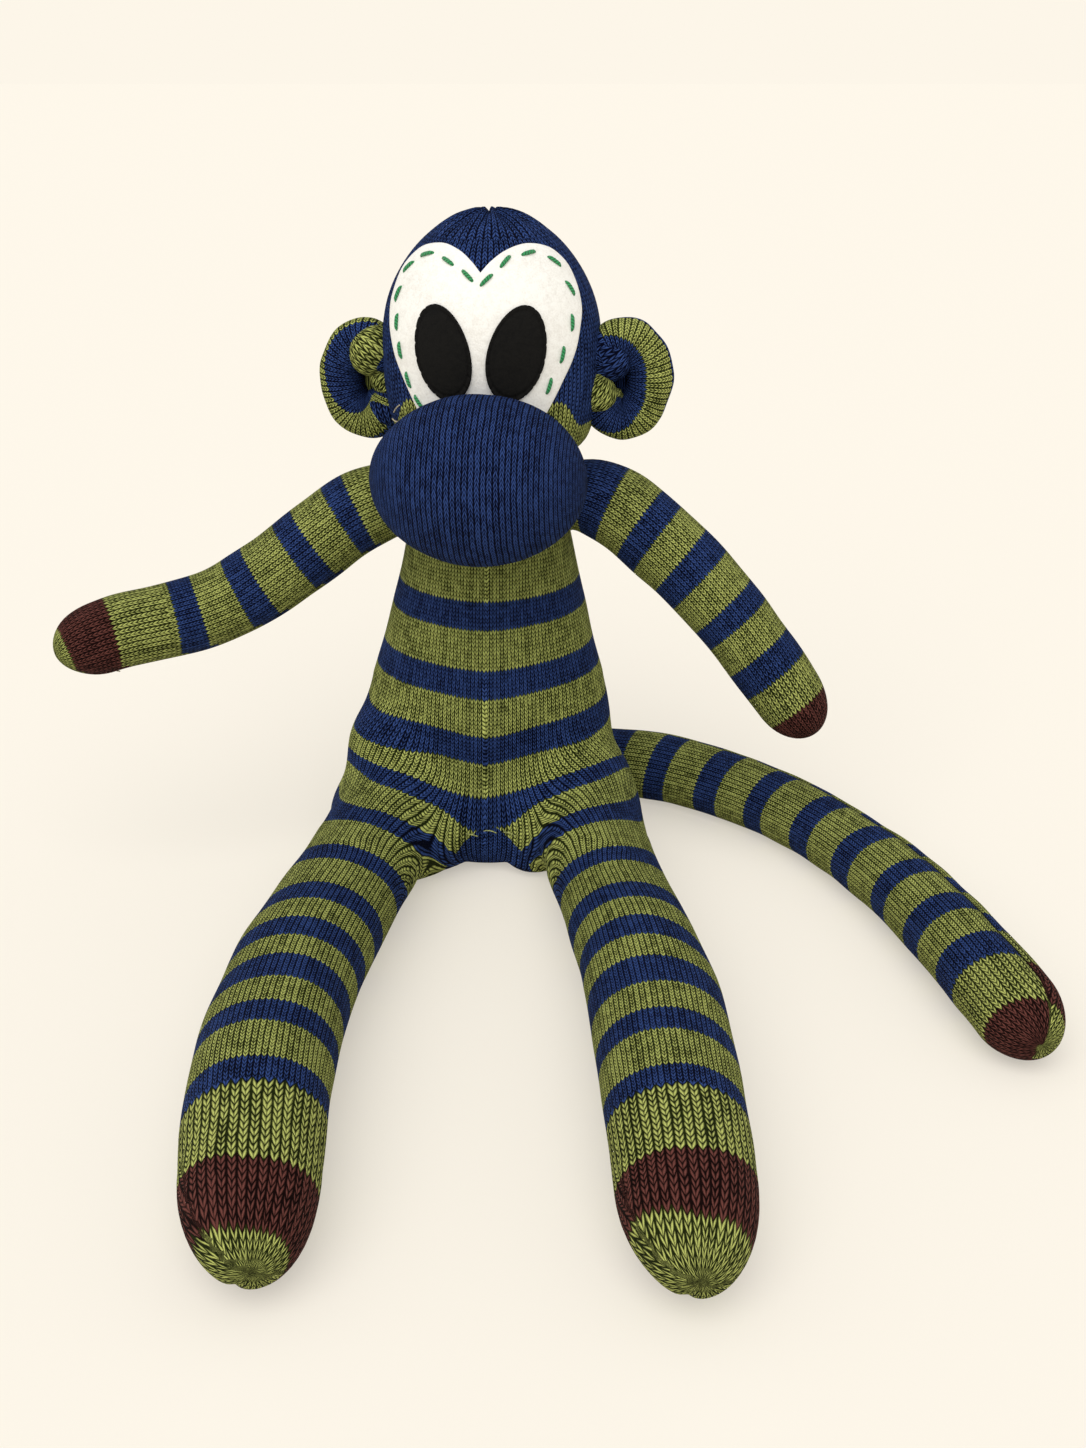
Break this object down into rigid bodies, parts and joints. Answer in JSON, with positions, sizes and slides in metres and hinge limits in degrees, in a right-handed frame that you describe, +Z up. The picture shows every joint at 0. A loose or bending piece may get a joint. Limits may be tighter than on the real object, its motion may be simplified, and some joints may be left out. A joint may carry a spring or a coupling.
{
  "type": "sock monkey doll",
  "caption": "Seated stuffed doll sewn from striped knitted socks, with a felt face, a round muzzle, ring ears, long jointed limbs and a long tail.",
  "frame": {"origin": "on the floor under the neck, on the seat's underside", "axes": "+Z up, the face looks along -Y, +X is the doll's own left"},
  "size_m": [0.3847, 0.3672, 0.2705],
  "materials": {
    "striped_knit": "matte striped cotton knit",
    "navy_knit": "matte cotton knit",
    "white_felt": "matte felt",
    "black_felt": "matte felt",
    "green_thread": "embroidery thread",
    "sewing_thread": "sewing thread",
    "stuffing": "loose polyester fibre"
  },
  "bodies": {
    "torso": {"torso_skin": "striped_knit", "torso_stuffing": "stuffing"},
    "neck": {"neck_gather_thread": "sewing_thread"},
    "head": {"head_skin": "navy_knit", "head_stuffing": "stuffing", "muzzle_skin": "navy_knit", "muzzle_stuffing": "stuffing", "face_patch": "white_felt", "eye_left": "black_felt", "eye_right": "black_felt", "face_stitch_01": "green_thread", "face_stitch_02": "green_thread", "face_stitch_03": "green_thread", "face_stitch_04": "green_thread", "face_stitch_05": "green_thread", "face_stitch_06": "green_thread", "face_stitch_07": "green_thread", "face_stitch_08": "green_thread", "face_stitch_09": "green_thread", "face_stitch_10": "green_thread", "face_stitch_11": "green_thread", "face_stitch_12": "green_thread", "face_stitch_13": "green_thread", "face_stitch_14": "green_thread", "face_stitch_15": "green_thread", "face_stitch_16": "green_thread", "face_stitch_17": "green_thread"},
    "ear_left": {"ear_left_skin": "striped_knit", "ear_left_stuffing": "stuffing"},
    "ear_right": {"ear_right_skin": "striped_knit", "ear_right_stuffing": "stuffing"},
    "arm_left": {"arm_left_skin": "striped_knit", "arm_left_stuffing": "stuffing"},
    "arm_right": {"arm_right_skin": "striped_knit", "arm_right_stuffing": "stuffing"},
    "leg_left": {"leg_left_skin": "striped_knit", "leg_left_stuffing": "stuffing"},
    "leg_right": {"leg_right_skin": "striped_knit", "leg_right_stuffing": "stuffing"},
    "tail": {"tail_skin": "striped_knit", "tail_stuffing": "stuffing"}
  },
  "joints": [
    {"name": "neck_nod", "type": "hinge", "parent": "torso", "child": "neck", "pos_m": [0, 0, 0.154], "axis": [1, 0, 0], "range_deg": [-25, 6]},
    {"name": "neck_turn", "type": "hinge", "parent": "neck", "child": "head", "pos_m": [0, 0, 0.154], "axis": [0, 0, 1], "range_deg": [-20, 20]},
    {"name": "ear_left_fold", "type": "hinge", "parent": "head", "child": "ear_left", "pos_m": [0.0512, 0.00173, 0.204], "axis": [0, 0, -1], "range_deg": [-35, 35]},
    {"name": "ear_right_fold", "type": "hinge", "parent": "head", "child": "ear_right", "pos_m": [-0.04596, 0.01023, 0.204], "axis": [0, 0, 1], "range_deg": [-35, 35]},
    {"name": "shoulder_left", "type": "hinge", "parent": "torso", "child": "arm_left", "pos_m": [0.031, -0.004, 0.155], "axis": [0, -1, 0], "range_deg": [-25, 26]},
    {"name": "shoulder_right", "type": "hinge", "parent": "torso", "child": "arm_right", "pos_m": [-0.031, -0.004, 0.155], "axis": [0, 1, 0], "range_deg": [-28, 26]},
    {"name": "hip_left", "type": "hinge", "parent": "torso", "child": "leg_left", "pos_m": [0.0415, -0.03, 0.02304], "axis": [-1, 0, 0], "range_deg": [-85, 25]},
    {"name": "hip_right", "type": "hinge", "parent": "torso", "child": "leg_right", "pos_m": [-0.0415, -0.03, 0.02304], "axis": [-1, 0, 0], "range_deg": [-85, 25]},
    {"name": "tail_swing", "type": "hinge", "parent": "torso", "child": "tail", "pos_m": [0.01, 0.034, 0.01301], "axis": [0, 0, 1], "range_deg": [-10, 75]}
  ]
}
